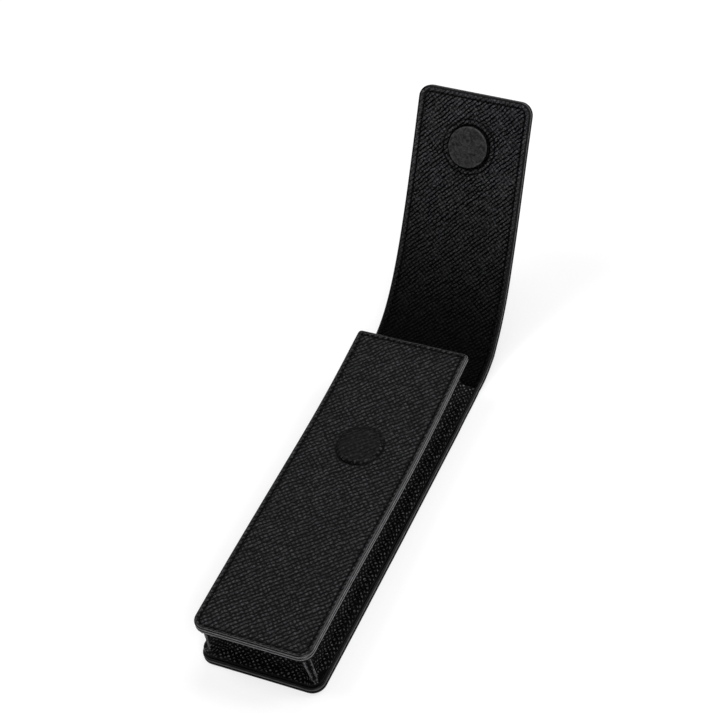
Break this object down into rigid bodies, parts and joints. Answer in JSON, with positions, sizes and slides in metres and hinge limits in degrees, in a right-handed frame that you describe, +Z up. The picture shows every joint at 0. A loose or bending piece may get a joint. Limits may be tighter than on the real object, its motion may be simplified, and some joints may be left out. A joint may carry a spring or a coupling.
{
  "type": "leather pen case",
  "caption": "Slim leather case for one pen, with a folded gusset, a front panel and a long flap held by a magnetic snap.",
  "frame": {"origin": "middle of the back panel's outer face, on which the case lies", "axes": "+X across the case, +Y along it towards the mouth and the open flap, +Z up through the front panel"},
  "size_m": [0.0416, 0.1958, 0.0667],
  "materials": {
    "grained_leather": "black cross-grain embossed calf, satin",
    "lining_leather": "black cross-grain embossed calf, satin",
    "gusset_leather": "black cross-grain embossed calf, folded",
    "fibre_board": "raw pressed fibre",
    "smooth_leather": "smooth black calf, satin",
    "plated_magnet": "nickel plated",
    "waxed_thread": "waxed polyester"
  },
  "bodies": {
    "case": {"back_outer_leather": "grained_leather", "back_board": "fibre_board", "back_lining": "lining_leather", "front_outer_leather": "grained_leather", "front_board": "fibre_board", "front_lining": "lining_leather", "gusset": "gusset_leather", "front_magnet": "plated_magnet", "front_seam": "waxed_thread", "mouth_seam": "waxed_thread", "back_seam_outer": "waxed_thread", "back_seam_left": "waxed_thread", "back_seam_bottom": "waxed_thread", "back_seam_right": "waxed_thread"},
    "flap_bridge": {"bridge_outer_leather": "grained_leather", "bridge_interlining": "fibre_board", "bridge_lining": "lining_leather", "bridge_seam_outer_left": "waxed_thread", "bridge_seam_outer_right": "waxed_thread", "bridge_seam_inner_left": "waxed_thread", "bridge_seam_inner_right": "waxed_thread"},
    "flap_leaf": {"flap_outer_leather": "grained_leather", "flap_board": "fibre_board", "flap_lining": "lining_leather", "flap_disc_cover": "smooth_leather", "flap_magnet": "plated_magnet", "flap_seam_outer": "waxed_thread", "flap_seam_inner": "waxed_thread"}
  },
  "joints": [
    {"name": "base_fold", "type": "hinge", "parent": "case", "child": "flap_bridge", "pos_m": [0, 0.07177, 0.0032], "axis": [1, 0, 0], "range_deg": [-15, 61.5]},
    {"name": "top_fold", "type": "hinge", "parent": "flap_bridge", "child": "flap_leaf", "pos_m": [0, 0.08528, 0.01067], "axis": [1, 0, 0], "range_deg": [-35, 65.8]}
  ]
}
